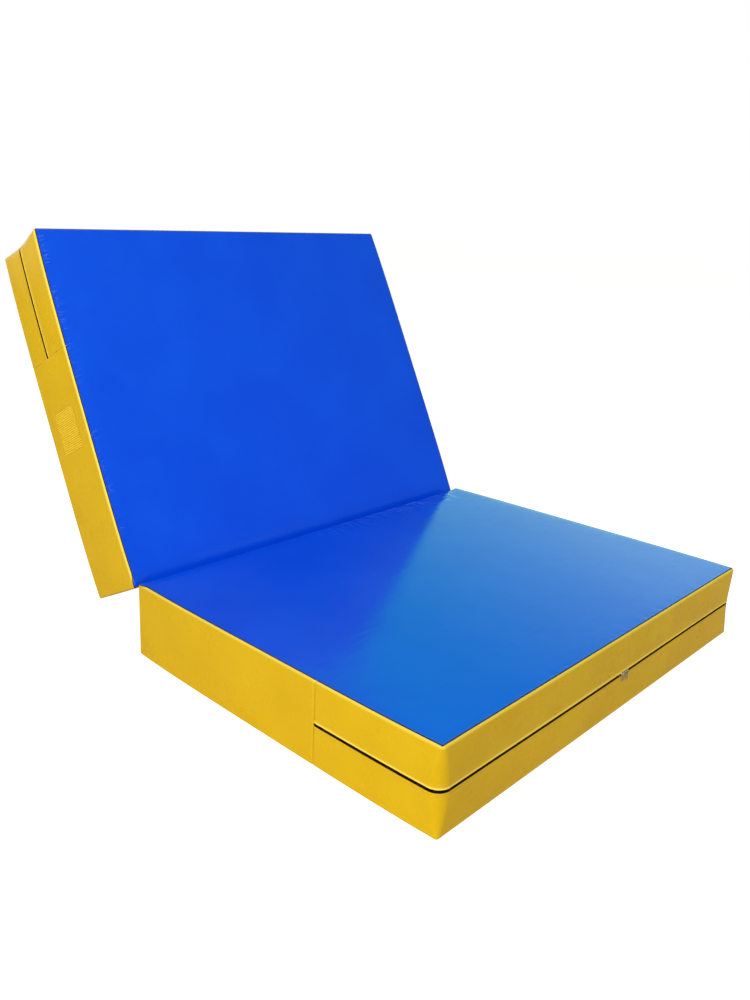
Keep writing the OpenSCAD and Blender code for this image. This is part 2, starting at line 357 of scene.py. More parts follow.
# walls are made flat: x along the wall, y in from its face, z up; then bent round the end.
# The upright corners are sharp at both faces and fuller at half height, where the zip turns
def bendRound(s, depth, h, fullRadius):
    radius = panel["edgeRadius"]
    radius += (fullRadius - radius) * math.sin(math.pi * min(max(h / height, 0), 1)) ** 0.8
    reach = panel["turnReach"]
    past = abs(s) - halfWidth               # from the sharp corner
    if abs(past) < reach:
        d = past * (reach - radius + radius * math.pi / 4) / reach
        rest = max(radius - depth, 0.3 * mm)
        if abs(d) <= radius * math.pi / 4:
            angle = d / radius - math.pi / 4
            x = halfWidth - depth - rest + rest * math.cos(angle)
            y = -halfLength + depth + rest + rest * math.sin(angle)
            return Vector((math.copysign(x, s), y, h))
        beyond = abs(d) - radius * math.pi / 4
        past = math.copysign(depth + rest + beyond * (reach - depth - rest) / (reach - radius), d)
    if past < 0:
        return Vector((math.copysign(halfWidth + past, s), -halfLength + depth, h))
    return Vector((math.copysign(halfWidth - depth, s), -halfLength + past, h))


def wander(s, size, seed):
    return noise.noise(Vector((s / size, seed * 7.31, 0.37)))


def fade(x, low, high):
    t = min(max((x - low) / (high - low), 0), 1)
    return t * t * (3 - 2 * t)


# an edge that runs along one of the two lines this far from the middle
def onLine(a, b, axis, away, middle=0):
    return abs(abs(a[axis] - middle) - away) < tiny and abs(a[axis] - b[axis]) < tiny


# all faces alike, so that the one with the least measure looks the given way
def faceOut(obj, way, measure=lambda f: f.index):
    openMesh(obj)
    bpy.ops.mesh.normals_make_consistent()
    closeMesh()
    if min(obj.data.polygons, key=measure).normal.dot(Vector(way)) < 0:
        openMesh(obj)
        bpy.ops.mesh.flip_normals()
        closeMesh()


def upsideDown(co):
    return Vector((co.x, co.y, height - co.z))


def turnOver(obj):
    moveEach(obj, upsideDown)
    obj.data.flip_normals()


def roundWall(flat):
    soften(flat)
    layCloth(flat, lambda co: (co.x, co.z - co.y))
    faceOut(flat, (0, -1, 0), lambda f: abs(f.center.z - midHeight * 1.45) + abs(f.center.y) * 4)


def bowed(co):
    t = min(abs(co.y) / halfLength, 1)
    return Vector((co.x * (1 + panel["bow"] / halfWidth * (1 - t ** 4)), co.y, co.z))


# the cover has slid round over the foam: the seam lies on top of some edges and down the wall at others
slide = dict(round=5 * mm, most=4.4, base=dict(left=4.4, right=0, end=4.4), upper=dict(left=0, right=4.4, end=0))


# a section point is unrolled along the rounded edge, moved along it and rolled up again
def slideSection(u, down, amount):
    radius = slide["round"]
    quarter = radius * math.pi / 2
    if u < radius and down < radius:
        s = radius * math.atan2(radius - down, radius - u)
        n = radius - math.hypot(radius - u, radius - down)
    elif u < down:
        s, n = radius - down, u
    else:
        s, n = quarter + u - radius, down
    s += (amount * fade(s, -34 * mm, -6 * mm) * (1 - fade(s, quarter + 4 * mm, quarter + 44 * mm))
          * (1 - fade(n, 3.5 * mm, 5 * mm)))
    if s < 0:
        return n, radius - s
    if s > quarter:
        return radius + s - quarter, n
    return radius - (radius - n) * math.cos(s / radius), radius - (radius - n) * math.sin(s / radius)


def fromEdges(co):
    return halfWidth - abs(co.x), halfLength + co.y, height - co.z


def sideSlide(name, co):
    back = fade(halfLength - co.y, 6 * mm, 30 * mm)
    return slide[name]["right" if co.x > 0 else "left"] * back * mm


def slidOver(name):
    def form(co):
        side, end, down = fromEdges(co)
        if down > 45 * mm or min(side, end) > 56 * mm:
            return co
        newSide, downBySide = slideSection(side, down, sideSlide(name, co))
        newEnd, downByEnd = slideSection(end, down, slide[name]["end"] * mm)
        x = math.copysign(halfWidth - newSide, co.x)
        return Vector((x, newEnd - halfLength, height - min(downBySide, downByEnd)))
    return form


# painted highlight: paler over the rolled top edge and along the lip above the zip, where these rounded edges would
# catch the light
def markPaintedHighlight(obj, name, lip):
    layer = obj.data.attributes.new("drawn", "FLOAT_VECTOR", "POINT")
    for v, mark in zip(obj.data.vertices, layer.data):
        side, end, down = fromEdges(v.co)
        rolled = max(sideSlide(name, v.co) * (1 - fade(side, 12 * mm, 20 * mm)),
                     slide[name]["end"] * mm * (1 - fade(end, 12 * mm, 20 * mm)))
        over = rolled / (slide["most"] * mm) * (1 - fade(down, 1.5 * mm, 10 * mm))
        paintedOnLip = lip * (1 - fade(abs(v.co.z - midHeight - 3.8 * mm), 0.8 * mm, 3 * mm))
        mark.vector = (0, 0, max(over, paintedOnLip))


def dress(obj, material, angle=None):
    obj.data.materials.clear()
    obj.data.materials.append(material)
    pick(obj)
    if angle:
        bpy.ops.object.shade_smooth_by_angle(angle=math.radians(angle))
    else:
        bpy.ops.object.shade_smooth()


# slid, thickened and bowed with the rest of the cover, then carried to its panel
def finishPiece(obj, name, material, node=None, thick=0, angle=None):
    moveEach(obj, slidOver(name))
    if thick:
        applyModifier(obj, "SOLIDIFY", thickness=thick * mm, offset=-1)
    moveEach(obj, bowed)
    obj.data.transform(places[name])
    dress(obj, material, angle)
    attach(obj, f"{name}_panel")
    if node:
        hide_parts(f"{name}_{node}")


# free end: two bands of wall with hemmed lips on both sides of the zip
zipWall = dict(
    # in from the wall, away from the face: the roll from the seam to the wall
    roll=dict(
        top=[(2.1, 5.0), (2.0, 4.1), (1.65, 3.4), (1.15, 3.2), (0.65, 3.5), (0.28, 4.4), (0.08, 5.8),
             (0.0, 7.4), (0.0, 9.2), (0.0, 11.0)],
        low=[(2.0, 3.4), (1.9, 2.2), (1.6, 1.3), (1.1, 1.0), (0.55, 1.2), (0.2, 2.0), (0.05, 3.2),
             (0.0, 5.0), (0.0, 8.0), (0.0, 11.0)]),
    # in from the wall, away from half height: the lip and the hem turned in behind it
    lip=dict(
        top=[(0.0, 11.0), (0.0, 8.4), (-0.05, 6.6), (-0.15, 5.2), (-0.3, 4.2), (-0.4, 3.5), (-0.25, 3.05),
             (0.1, 3.0), (0.5, 3.4), (0.9, 4.2), (1.4, 5.6), (1.85, 8.0), (1.85, 12.0), (1.85, 15.5)],
        low=[(0.0, 11.0), (0.0, 7.8), (-0.15, 5.3), (0.05, 4.1), (0.45, 3.7), (0.85, 4.1), (1.1, 5.2),
             (1.6, 7.0), (1.85, 9.0), (1.85, 12.0), (1.85, 15.5)]),
    rows=7, full=22, bulge=0.9, pout=0.6, sag=1.4, pucker=0.3, wave=0.25,
    # share of painted highlight along each lip above the zip, by half
    lipHighlight=dict(top=0.6, low=0), seed=dict(base=1, upper=2),
    tuck=dict(base=1.1, upper=0.3),     # into the upright seams at the ends of the zip
    shut=dict(base=0.55, upper=0.0))    # how much nearer each lip lies to half height
zipEnd = halfWidth + panel["zipSide"] - panel["seamGap"]


def tuckedIn(name, s, end):
    return zipWall["tuck"][name] * (1 - fade(end - abs(s), 0, 3.5 * mm))


def freeEndForm(name):
    seed = zipWall["seed"][name]

    def form(co):
        s, u, h = co
        q = abs(h - midHeight) / midHeight          # 0 at the zip, 1 at the faces
        skin = 1 - fade(u, 2.0 * mm, 3.5 * mm)      # the wall and its hem, not the chain behind
        out = zipWall["bulge"] * math.sin(math.pi * q) + zipWall["pout"] * skin * (1 - fade(q, 0.03, 0.15))
        drawnHere = 0.35
        if name == "base":                          # most puckers are right of the middle
            drawnHere += fade(s, 0.15, 0.3) * (1 - fade(s, 0.44, 0.5))
        uneven = zipWall["pucker"] * drawnHere * wander(s, 13 * mm, seed)
        uneven += zipWall["wave"] * wander(s, 90 * mm, seed + 3)
        out += uneven * fade(1 - q, 0.02, 0.35) * fade(q, -0.2, 0.2)
        out -= tuckedIn(name, s, zipEnd)
        # the lips sag left of the middle, wander a little and stand nearer to each other than cut
        h -= zipWall["sag"] * mm * skin * (1 - fade(abs(s + 0.1), 0.05, 0.4)) * max(0, 1 - q * 1.5)
        h += math.copysign(0.25 * mm * wander(s, 110 * mm, seed + 5) * max(0, 1 - q * 4), h - midHeight)
        h -= math.copysign(zipWall["shut"][name] * mm * skin * (1 - fade(q, 0.08, 0.3)), h - midHeight)
        return bendRound(s, u - out * mm, h, zipWall["full"] * mm)
    return form


# close steps where the wall is tucked in at the ends of the zip
def tuckStops(end):
    return -end + 1.5 * mm, -end + 4 * mm, end - 4 * mm, end - 1.5 * mm


# a band is drawn as for the top of the wall; the lower one is turned over later
def cutBand(half):
    section = [(u * mm, height - d * mm) for u, d in zipWall["roll"][half]]
    top, low = section[-1][1], midHeight + zipWall["lip"][half][0][1] * mm
    section += [(0, top + (low - top) * (i + 1) / (zipWall["rows"] + 1)) for i in range(zipWall["rows"])]
    section += [(u * mm, midHeight + v * mm) for u, v in zipWall["lip"][half]]
    band = drawStrip("band", section, stationsAlong(-zipEnd, zipEnd, 10 * mm, turns, stops=tuckStops(zipEnd)))
    roundWall(band)
    return band


endForms = {name: freeEndForm(name) for name in places}
bandFlats = {half: cutBand(half) for half in ("top", "low")}
for name in places:
    for half, flat in bandFlats.items():
        band = copyPiece(flat, f"{name}ZipBand{half.capitalize()}")
        if half == "low":
            turnOver(band)
        moveEach(band, endForms[name])
        markPaintedHighlight(band, name, zipWall["lipHighlight"][half])
        finishPiece(band, name, yellowVinyl, f"zip_wall_{half}", panel["cloth"])
for flat in bandFlats.values():
    made.remove(flat)
print("zip bands sewn")

# hinge end: one strip of wall from zip end to zip end, with the mesh window in one side
rearWall = dict(full=5, bulge=0.7, sink=1.4, wrap=486, seed=dict(base=11, upper=12),
                valley=dict(base=2.0, upper=8.0), valleyReach=dict(base=30, upper=36))
ventLow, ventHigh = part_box("base_vent")
vent = dict(edge=8 * mm, border=7 * mm, pitch=4.2 * mm, strand=1.5 * mm, press=0.75 * mm, cloth=0.8)
windowLeft = -(halfLength - ventLow.y - vent["edge"] + halfWidth)
windowRight = -(halfLength - ventHigh.y + vent["edge"] + halfWidth)
windowLow, windowHigh = ventLow.z + vent["edge"], ventHigh.z - vent["edge"]
windowX, windowZ = (windowLeft + windowRight) / 2, (windowLow + windowHigh) / 2
rearEnd = halfWidth + 2 * halfLength - panel["zipSide"] - panel["seamGap"]
wrap = rearWall["wrap"] * mm


# both top sheets dip towards the fold, less beside the corners
def valleyDepth(name, x):
    return rearWall["valley"][name] * mm * fade(halfWidth - abs(x), 6 * mm, 45 * mm)


def rearForm(name):
    seed = rearWall["seed"][name]

    def form(co):
        s, u, h = co
        q = abs(h - midHeight) / midHeight
        out = rearWall["bulge"] * math.cos(math.pi / 2 * q) ** 0.7
        out += (0.2 * wander(s, 16 * mm, seed) + 0.3 * wander(s, 100 * mm, seed + 3)) * fade(1 - q, 0.02, 0.3)
        pastWindow = max(abs(s - windowX) - 65 * mm, 0)     # flatter where the net is sewn in
        out *= 0.25 + 0.75 * fade(pastWindow, 0, 50 * mm)
        out -= tuckedIn(name, s, rearEnd)
        # under the blue cloth that rolls over the hinge edge
        under = (1 - fade(abs(s), wrap, wrap + 5 * mm)) * fade(h, height - 12 * mm, height - 10 * mm)
        sunk = rearWall["sink"] * under
        dip = 1.25 * valleyDepth(name, s) if abs(s) < halfWidth else 0
        dip *= fade(h, height - 28 * mm, height - 9 * mm)
        p = bendRound(s, u - (out - sunk) * mm, h - sunk * mm - dip, rearWall["full"] * mm)
        return Vector((-p.x, -p.y, p.z))
    return form


section = [(u * mm, height - d * mm) for u, d in zipWall["roll"]["top"]]
gap = section[-1][1] - windowHigh
levels = [section[-1][1] - gap * (i + 1) / 4 for i in range(3)]
levels += stationsAlong(windowLow, windowHigh, 9 * mm)[::-1] + [height - h for h in levels[::-1]]
section += [(0, h) for h in levels] + [(u * mm, d * mm) for u, d in zipWall["roll"]["low"][::-1]]
stops = (*tuckStops(rearEnd), windowLeft, windowRight)
rearFlat = drawStrip("rearFlat", section, stationsAlong(-rearEnd, rearEnd, 10 * mm, turns, stops=stops))


def inWindow(c, spare=0):
    across = windowLeft - spare < c.x < windowRight + spare
    return across and windowLow - spare < c.z < windowHigh + spare


def onWindowEdge(a, b):
    upright, level = onLine(a, b, 0, windowRight - windowX, windowX), onLine(a, b, 2, windowHigh - windowZ, windowZ)
    return (upright or level) and inWindow(a, tiny) and inWindow(b, tiny)


# the window is cut, and its edge turned in over the mesh
openMesh(rearFlat, "FACE", lambda f: inWindow(f.center))
bpy.ops.mesh.delete(type="FACE")
openMesh(rearFlat, "EDGE", onWindowEdge)
pullOut(0, 0.2 * mm, 0)
pullOut(0, 0.3 * mm, 0)
closeMesh()
roundWall(rearFlat)
rearForms = {name: rearForm(name) for name in places}
for name in places:
    wall = copyPiece(rearFlat, f"{name}RearWall")
    moveEach(wall, rearForms[name])
    markPaintedHighlight(wall, name, 0)
    finishPiece(wall, name, yellowVinyl, "rear_wall", panel["cloth"])
made.remove(rearFlat)
print("rear walls sewn")

# face sheets: a flat cut of cloth, sewn down in a groove inside the rolled edge
faceSheet = dict(
    inset=5.3, columns=98, rows=40, crowd=0.8, puckerBand=28, creaseBand=75,
    frames=20, cap=0.9, seed=dict(base=31, upper=41), creases=dict(base=1.0, upper=0),
    cover=dict(use_pressure=True, uniform_pressure_force=4, bending_stiffness=2, tension_stiffness=40,
               compression_stiffness=40),
    # in from the wall, down from the face
    groove=dict(top=[(3.6, 0.12), (2.6, 0.5), (1.95, 1.1), (1.65, 1.9), (1.7, 2.7), (2.1, 3.8)],
                low=[(4.3, 0.2), (3.5, 0.75), (3.0, 1.8), (2.75, 3.4)]),
    hingeRoll=[(4.3, 0.1), (3.1, 0.5), (2.1, 1.2), (1.25, 2.1), (0.55, 3.4), (0.2, 5.0), (0.1, 6.8),
               (0.5, 8.4), (1.3, 9.6)])
inset = faceSheet["inset"] * mm
sheetWide, sheetDeep = halfWidth - inset, halfLength - inset


def cutSheet(name):
    across, along = faceSheet["columns"] + 2, faceSheet["rows"]
    crowd = faceSheet["crowd"]

    # the last column but one each side stands at the end of the hinge roll; rows crowd to the seams
    def spread(co):
        column = round((co.x + 1) / 2 * across)
        x = -wrap + 2 * wrap * (column - 1) / (across - 2)
        if column in (0, across):
            x = math.copysign(sheetWide, co.x)
        y = sheetDeep * ((1 - crowd) * co.y + crowd * math.sin(math.pi * co.y / 2))
        return Vector((x, y, height))
    sheet = newPiece(name, bpy.ops.mesh.primitive_grid_add, x_subdivisions=across, y_subdivisions=along)
    moveEach(sheet, spread)
    return sheet


# the cloth is pinned at its seams and blown up a little, then held to what the foam gives
def tightenOverFoam(obj):
    before = [v.co.copy() for v in obj.data.vertices]
    pins = [v.index for v in obj.data.vertices if abs(v.co.x) > sheetWide - tiny or abs(v.co.y) > sheetDeep - tiny]
    obj.vertex_groups.new(name="seams").add(pins, 1.0, "REPLACE")
    pick(obj)
    cloth = obj.modifiers.new("cover", "CLOTH").settings
    cloth.vertex_group_mass = "seams"
    cloth.effector_weights.gravity = 0
    for key, value in faceSheet["cover"].items():
        setattr(cloth, key, value)
    for number in range(1, faceSheet["frames"] + 1):
        scene.frame_set(number)
    bpy.ops.object.modifier_apply(modifier="cover")
    scene.frame_set(1)
    cap = faceSheet["cap"] * mm
    for v, old in zip(obj.data.vertices, before):
        rise = max(v.co.z - old.z, 0)
        v.co = Vector((old.x, old.y, old.z + cap * rise / (rise + cap * 2)))
    obj.vertex_groups.clear()


def sewDown(obj, half):
    hinge = half == "top"
    rollEnd = wrap + tiny

    def onOutline(a, b):
        rolled = hinge and a.y > 0 and max(abs(a.x), abs(b.x)) < rollEnd
        return onLine(a, b, 0, sheetWide) or (onLine(a, b, 1, sheetDeep) and not rolled)

    def onHinge(a, b):
        return a.z > height - tiny and all(abs(c.y - sheetDeep) < tiny and abs(c.x) < rollEnd for c in (a, b))

    def onRollEnd(a, b):
        return onLine(a, b, 0, wrap) and min(a.y, b.y) > sheetDeep - tiny and max(a.y, b.y) > sheetDeep + tiny

    openMesh(obj, "EDGE", onOutline)
    lastIn, lastDown = inset, 0
    for u, d in faceSheet["groove"][half]:
        pullOut(0, 0, lastDown - d * mm)
        wider = [(size - u * mm) / (size - lastIn) for size in (halfWidth, halfLength)]
        bpy.ops.transform.resize(value=(*wider, 1), center_override=(0, 0, 0))
        lastIn, lastDown = u * mm, d * mm
    if hinge:
        openMesh(obj, "EDGE", onHinge)
        lastIn, lastDown = inset, 0
        for u, d in faceSheet["hingeRoll"]:
            pullOut(0, lastIn - u * mm, lastDown - d * mm)
            lastIn, lastDown = u * mm, d * mm
        # the ends of the roll curl down beside the yellow corners
        openMesh(obj, "EDGE", onRollEnd)
        pullOut(0, -0.6 * mm, -0.5 * mm)
        bpy.ops.transform.resize(value=((rollEnd + 0.8 * mm) / rollEnd, 1, 1), center_override=(0, 0, 0))
    closeMesh()


# finer faces beside the seams, enough for the puckers
def crowdSeams(obj):
    def bySeam(face):
        c = face.center
        seam = min(halfWidth - abs(c.x), halfLength + c.y) < faceSheet["puckerBand"] * mm
        crease = halfLength - c.y < faceSheet["creaseBand"] * mm and -0.2 < c.x
        return c.z > height - 1.5 * mm and (seam or crease)
    openMesh(obj, "FACE", bySeam)
    bpy.ops.mesh.subdivide()
    closeMesh()


# where the fold creases the sheet, across the panel
def byCreases(x):
    return fade(x, -0.12, 0.08) * (1 - fade(x, 0.40, 0.47))


def sheetForm(name):
    seed, creases = faceSheet["seed"][name], faceSheet["creases"][name]

    def form(co):
        x, y, z = co
        side, end, back = halfWidth - abs(x), halfLength + y, halfLength - y
        seam = min(side, end)
        inside = max(seam - 5 * mm, 0)
        along = y if side < end else x
        # short puckers drawn in by the stitching, and longer ease further in
        tight = max(0, wander(along, 11 * mm, seed + (1 if x > 0 else 0))) * math.exp(-inside / (9 * mm))
        ease = wander(along, 24 * mm, seed + 4) * math.exp(-inside / (20 * mm))
        drawnHere = 0.3 if name == "upper" and x > 0 and side < end else 0.25
        z -= (1.8 * tight + 0.5 * ease) * drawnHere * fade(seam, 1.9 * mm, 5.2 * mm) * mm
        # short slanting creases by the fold, where the cloth is drawn round the edge
        z -= valleyDepth(name, x) * max(0, 1 - back / (rearWall["valleyReach"][name] * mm)) ** 2
        slant = x + 0.15 * back
        depth = creases * byCreases(x) * fade(back, 5 * mm, 12 * mm) * (1 - fade(back, 22 * mm, 62 * mm))
        z -= (2.6 * abs(wander(slant, 12 * mm, seed + 6)) + 0.5 * wander(slant, 7 * mm, seed + 8)) * depth * mm
        return Vector((x, y, z))
    return form


# how far the cloth is drawn in: by the fold first, then by the long seams at the sides
def markDrawn(obj, name):
    layer = obj.data.attributes.new("drawn", "FLOAT_VECTOR", "POINT")
    for v, mark in zip(obj.data.vertices, layer.data):
        x, y, z = v.co
        back, side = halfLength - y, halfWidth - abs(x)
        byFold = byCreases(x) * fade(back, 3 * mm, 9 * mm) * (1 - fade(back, 30 * mm, 75 * mm))
        bySeam = fade(side, 2.2 * mm, 5 * mm) * (1 - fade(side, 6 * mm, 28 * mm))
        bySeam *= 0.35 + fade(wander(y, 60 * mm, 51), -0.2, 0.3)
        taken = 0.5 if name == "upper" and x > 0 else 0.06
        mark.vector = (0.6 * faceSheet["creases"][name] * byFold, bySeam * taken, 0)


for name in places:
    sheet = cutSheet(f"{name}TopSheet")
    tightenOverFoam(sheet)
    sewDown(sheet, "top")
    soften(sheet)
    crowdSeams(sheet)
    layCloth(sheet, lambda co: (co.x, co.y - max(0, height - 4 * mm - co.z)))
    faceOut(sheet, (0, 0, 1), lambda f: -f.area)
    markDrawn(sheet, name)
    moveEach(sheet, sheetForm(name))
    finishPiece(sheet, name, blueVinyl, "top", panel["cloth"])

    under = cutSheet(f"{name}BottomSheet")
    sewDown(under, "low")
    soften(under)
    moveEach(under, upsideDown)
    layCloth(under, lambda co: (co.x, co.y))
    faceOut(under, (0, 0, -1), lambda f: -f.area)
    finishPiece(under, name, blueVinyl, "bottom", panel["cloth"])
print("face sheets sewn")

# foam block, with a groove cut for the zip round the free end
foamBlock = dict(back=3.4, lift=4.2, corner=24, cornerSteps=8, edge=13, edgeSteps=3,
                 groove=6, grooveHalf=18, grooveEnd=270, smooth=40)
foamHalf = (halfWidth - foamBlock["back"] * mm, halfLength - foamBlock["back"] * mm, midHeight - foamBlock["lift"] * mm)
grooveHalf, grooveStop = foamBlock["grooveHalf"] * mm, -halfLength + foamBlock["grooveEnd"] * mm


def inGroove(face):
    return abs(face.normal.z) < 0.1 and abs(face.center.z - midHeight) < grooveHalf and face.center.y < grooveStop


for name in places:
    foam = newPiece(f"{name}Foam", bpy.ops.mesh.primitive_cube_add)
    moveEach(foam, lambda co: Vector((co.x * foamHalf[0], co.y * foamHalf[1], midHeight + co.z * foamHalf[2])))
    openMesh(foam, "EDGE", lambda a, b: abs(a.x - b.x) < tiny and abs(a.y - b.y) < tiny)
    bpy.ops.mesh.bevel(offset=foamBlock["corner"] * mm, segments=foamBlock["cornerSteps"])
    openMesh(foam, "EDGE", lambda a, b: abs(a.z - b.z) < tiny and abs(a.z - midHeight) > 10 * mm)
    bpy.ops.mesh.bevel(offset=foamBlock["edge"] * mm, segments=foamBlock["edgeSteps"])
    for point, across in (((0, 0, midHeight - grooveHalf), (0, 0, 1)), ((0, 0, midHeight + grooveHalf), (0, 0, 1)),
                          ((0, grooveStop, 0), (0, 1, 0))):
        bpy.ops.mesh.select_all(action="SELECT")
        bpy.ops.mesh.bisect(plane_co=point, plane_no=across)
    openMesh(foam, "FACE", inGroove)
    bpy.ops.mesh.extrude_region_shrink_fatten(TRANSFORM_OT_shrink_fatten={"value": -foamBlock["groove"] * mm})
    closeMesh()
    finishPiece(foam, name, foamWithPaintedShade, "core", angle=foamBlock["smooth"])
print("foam blocks cut")

# mesh window: a flat net of dipped strands with a plain border under the wall
rows = round((windowRight - windowLeft + vent["strand"]) / vent["pitch"])
cols = round((windowHigh - windowLow + vent["strand"]) / vent["pitch"])
spanX, spanZ = rows * vent["pitch"] / 2, cols * vent["pitch"] / 2
netDepth = halfWidth - ventHigh.x


# the foam behind presses the net out between the edges of the window
def pressedOut(co):
    inside = min(spanX - abs(co.x - windowX), spanZ - abs(co.z - windowZ))
    return co - Vector((0, vent["press"] * fade(inside, -0.5 * mm, 2.5 * mm), 0))


netFlat = newPiece("netFlat", bpy.ops.mesh.primitive_grid_add, x_subdivisions=rows, y_subdivisions=cols)
moveEach(netFlat, lambda co: Vector((windowX + co.x * spanX, netDepth, windowZ + co.y * spanZ)))
openMesh(netFlat)
bpy.ops.mesh.inset(thickness=vent["strand"] / 2, use_individual=True)
bpy.ops.mesh.delete(type="FACE")
openMesh(netFlat, "EDGE", lambda a, b: onLine(a, b, 0, spanX, windowX) or onLine(a, b, 2, spanZ, windowZ))
pullOut(0, 0, 0)
bpy.ops.transform.resize(value=(1 + vent["border"] / spanX, 1, 1 + vent["border"] / spanZ),
                         center_override=(windowX, netDepth, windowZ))
closeMesh()
faceOut(netFlat, (0, -1, 0))
applyModifier(netFlat, "SOLIDIFY", thickness=vent["cloth"] * mm, offset=-1)
soften(netFlat)
for name in places:
    net = copyPiece(netFlat, f"{name}VentMesh")
    moveEach(net, pressedOut, rearForms[name])
    finishPiece(net, name, dippedMesh, "vent")
made.remove(netFlat)
print("vents netted", rows, "by", cols)

# zip: woven tapes with a coil of nylon loops along their edges, sunk behind the lips
zipChain = dict(
    tape=0.6, tapeEnd=258, pitch=1.6, filament=0.36, depth=4.5, head=-0.45, root=3.6, bend=0.85,
    # in from the wall, away from half height
    section=[(4.5, 2.2), (4.5, 3.4), (4.5, 5.0), (4.0, 6.2), (2.7, 8.4), (2.3, 9.6), (2.3, 12.0), (2.3, 15.4)])
tapeEnd = halfWidth + zipChain["tapeEnd"] * mm
tapeFlat = drawStrip("tapeFlat", [(u * mm, midHeight + v * mm) for u, v in zipChain["section"]],
                     stationsAlong(-tapeEnd, tapeEnd, 20 * mm, turns, fine=4 * mm))
layCloth(tapeFlat, lambda co: (co.x, co.z))
faceOut(tapeFlat, (0, -1, 0))

# one loop of the coil: out along the face, round the head and back behind
filament, depth, head, root, bend = [zipChain[key] * mm for key in ("filament", "depth", "head", "root", "bend")]
loop = newPiece("loop", bpy.ops.mesh.primitive_circle_add, vertices=5, radius=filament, fill_type="NGON")
openMesh(loop)
bpy.ops.transform.translate(value=(0, depth - bend, midHeight + root))
pullOut(0, 0, -(root - head - bend))
bpy.ops.mesh.spin(steps=4, angle=math.pi, center=(0, depth, midHeight + head + bend), axis=(1, 0, 0))
pullOut(0, 0, root - head - bend)
bpy.ops.mesh.select_all(action="SELECT")
bpy.ops.mesh.normals_make_consistent()
closeMesh()
moveEach(loop, lambda co: Vector((co.x - tapeEnd + 0.5 * mm, co.y, co.z)))
loops = math.floor(2 * tapeEnd / (zipChain["pitch"] * mm)) - 1
repeat(loop, loops, zipChain["pitch"])
for name in places:
    for half in ("top", "low"):
        tape = copyPiece(tapeFlat, f"{name}Tape{half.capitalize()}")
        coil = copyPiece(loop, f"{name}Coil{half.capitalize()}")
        if half == "low":
            turnOver(tape)
            turnOver(coil)
            moveEach(coil, lambda co: co + Vector((zipChain["pitch"] / 2 * mm, 0, 0)))
        moveEach(tape, endForms[name])
        moveEach(coil, endForms[name])
        finishPiece(tape, name, wovenTape, f"tape_{half}", zipChain["tape"])
        finishPiece(coil, name, nylonCoil, f"coil_{half}")
made.remove(tapeFlat)
made.remove(loop)
print("zips laid,", loops, "loops a side")

# topstitching: one stitch, a drawn-out bead of thread with its ends pulled into the cloth
stitch = dict(length=2.6, thick=0.32, pitch=4.0, proud=0.1, sunk=0.3, hemRow=12.0, seamRow=6.0, frameRow=4.5,
              # the edge rows are the navy thread, thick and close enough to paint the seam groove's shade
              edgePitch=2.2, edge=dict(top=(1.2, 2.2, 3), low=(2.4, 1.5, 1)))     # in, away from the face, thickness
reach, tip = stitch["length"] / 2 * mm, stitch["length"] * mm * 0.2
bead = newPiece("bead", bpy.ops.mesh.primitive_cylinder_add, vertices=6, radius=stitch["thick"] * mm,
                depth=stitch["length"] * mm * 0.6, rotation=(0, math.pi / 2, 0))
bpy.ops.object.transform_apply()
for side in (-1, 1):
    openMesh(bead, "FACE", lambda f: f.normal.x * side > 0.9)
    pullOut(side * tip, stitch["sunk"] * mm, 0)
    bpy.ops.transform.resize(value=(1, 0.5, 0.6), center_override=(side * reach, stitch["sunk"] * mm, 0))
    closeMesh()


def stitchRow(form, along, up, length, upright=False, depth=-stitch["proud"], pitch=stitch["pitch"], fat=1):
    row = copyPiece(bead, "row")
    moveEach(row, lambda co: Vector((co.x, co.y * fat, co.z * fat)))
    repeat(row, max(1, math.floor(length / (pitch * mm))), pitch)
    if upright:
        moveEach(row, lambda co: Vector((-co.z, co.y, co.x)))
    moveEach(row, lambda co: co + Vector((along, depth * mm, up)), form)
    return row


def joinRows(rows, name):
    deselectAll()
    for row in rows:
        row.select_set(True)
    bpy.context.view_layer.objects.active = rows[0]
    bpy.ops.object.join()
    joined = bpy.context.object
    joined.name = joined.data.name = name
    return joined


frameOut = stitch["frameRow"] * mm
frameLeft, frameRight = windowLeft - frameOut, windowRight + frameOut
frameLow, frameHigh = windowLow - frameOut, windowHigh + frameOut
frameWide, frameTall = frameRight - frameLeft + stitch["pitch"] * mm, frameHigh - frameLow
for name in places:
    end, rear = endForms[name], rearForms[name]
    sewn = []
    for side in (-1, 1):
        hem = midHeight + side * stitch["hemRow"] * mm
        seam = side * (rearEnd - stitch["seamRow"] * mm)
        sewn.append(stitchRow(end, -zipEnd + 6 * mm, hem, 2 * zipEnd - 10 * mm))
        sewn.append(stitchRow(rear, seam, 12 * mm, height - 22 * mm, True))
    sewn += [stitchRow(rear, frameLeft, h, frameWide) for h in (frameLow, frameHigh)]
    sewn += [stitchRow(rear, s, frameLow, frameTall, True) for s in (frameLeft, frameRight)]
    finishPiece(joinRows(sewn, f"{name}Stitches"), name, yellowThread)
    # the thread that closes the edge seams, drawn thick and close so that it also paints the groove's shade: a dark
    # line, part thread and part painted shade
    sewn = []
    for half, (inward, away, fat) in stitch["edge"].items():
        thread = dict(depth=inward, pitch=stitch["edgePitch"], fat=fat)
        h = height - away * mm if half == "top" else away * mm
        sewn.append(stitchRow(end, -zipEnd + reach, h, 2 * zipEnd, **thread))
        length = rearEnd - wrap - 8 * mm if half == "top" else 2 * rearEnd
        sewn.append(stitchRow(rear, -rearEnd + reach, h, length, **thread))
        if half == "top":
            sewn.append(stitchRow(rear, rearEnd - length, h, length, **thread))
    finishPiece(joinRows(sewn, f"{name}EdgeThreadAndSeamShade"), name, navyThreadAndSeamShade)
made.remove(bead)
print("topstitching sewn")

